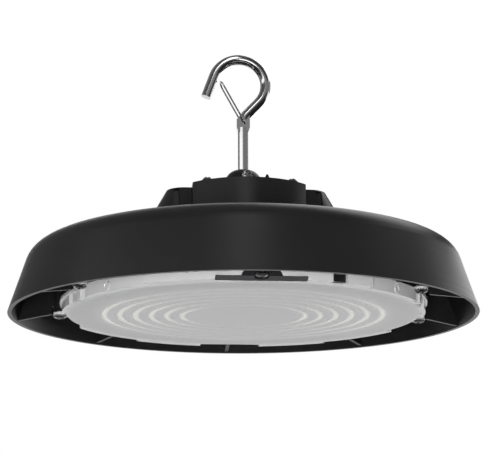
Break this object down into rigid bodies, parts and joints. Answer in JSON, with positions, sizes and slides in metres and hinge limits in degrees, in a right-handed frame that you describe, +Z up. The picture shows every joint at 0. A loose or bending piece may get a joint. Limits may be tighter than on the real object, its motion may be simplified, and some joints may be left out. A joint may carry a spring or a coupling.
{
  "type": "high bay light",
  "caption": "Round black high bay light with a flared skirt, clear ridged lens dish, bolted driver cover and a wire hanging hook with a spring keeper.",
  "frame": {"origin": "centre of the skirt's rim plane, at the object's base", "axes": "+Z up along the hook's shank, -Y the front with the wide lens notch, +Y the rear with the cable entry"},
  "size_m": [0.35, 0.35, 0.2078],
  "materials": {
    "black_casting": "semi-matte powder coat",
    "black_rubber": "matte",
    "clear_dish": "clear, lightly frosted",
    "dark_plastic": "matte",
    "steel": "plain",
    "dark_screw": "black oxide",
    "bare_aluminium": "mill",
    "thermal_pad": "matte",
    "white_board": "solder mask",
    "phosphor": "satin",
    "green_board": "solder mask",
    "transformer": "taped winding",
    "capacitor_sleeve": "shrink sleeve",
    "ferrite": "coated",
    "terminal_plastic": "moulded",
    "lead_insulation": "extruded",
    "chrome": "bright plated"
  },
  "bodies": {
    "fixture": {"capacitors": "capacitor_sleeve", "circuit_standoffs": "steel", "cover_gasket": "black_rubber", "cover_screws": "dark_screw", "driver_circuit_board": "green_board", "driver_cover": "black_casting", "driver_heat_bar": "bare_aluminium", "driver_screws": "steel", "driver_tray": "bare_aluminium", "gland_body": "dark_plastic", "gland_locknut": "dark_plastic", "gland_nut": "dark_plastic", "gland_seal": "black_rubber", "heat_spreader": "bare_aluminium", "heat_spreader_screws": "steel", "hook": "chrome", "hook_lock_screw": "steel", "hook_nut": "steel", "hook_washer": "steel", "housing": "black_casting", "led_board": "white_board", "led_board_screws": "steel", "led_chips": "phosphor", "led_leads": "lead_insulation", "lens": "clear_dish", "lens_clip_front": "dark_plastic", "lens_clip_rear": "dark_plastic", "lens_gasket": "black_rubber", "lens_screws": "steel", "mains_choke": "ferrite", "mains_terminal": "terminal_plastic", "output_terminal": "terminal_plastic", "power_transistors": "dark_plastic", "thermal_pad": "thermal_pad", "transformer": "transformer", "tray_feet": "dark_plastic", "vent_plug": "dark_plastic"},
    "keeper": {"hook_latch": "chrome"}
  },
  "joints": [
    {"name": "keeper_hinge", "type": "hinge", "parent": "fixture", "child": "keeper", "pos_m": [0.001, 0, 0.1514], "axis": [0, 1, 0], "range_deg": [0, 40], "stiffness_Nm_per_rad": 0.02, "springref_deg": -17.19}
  ]
}
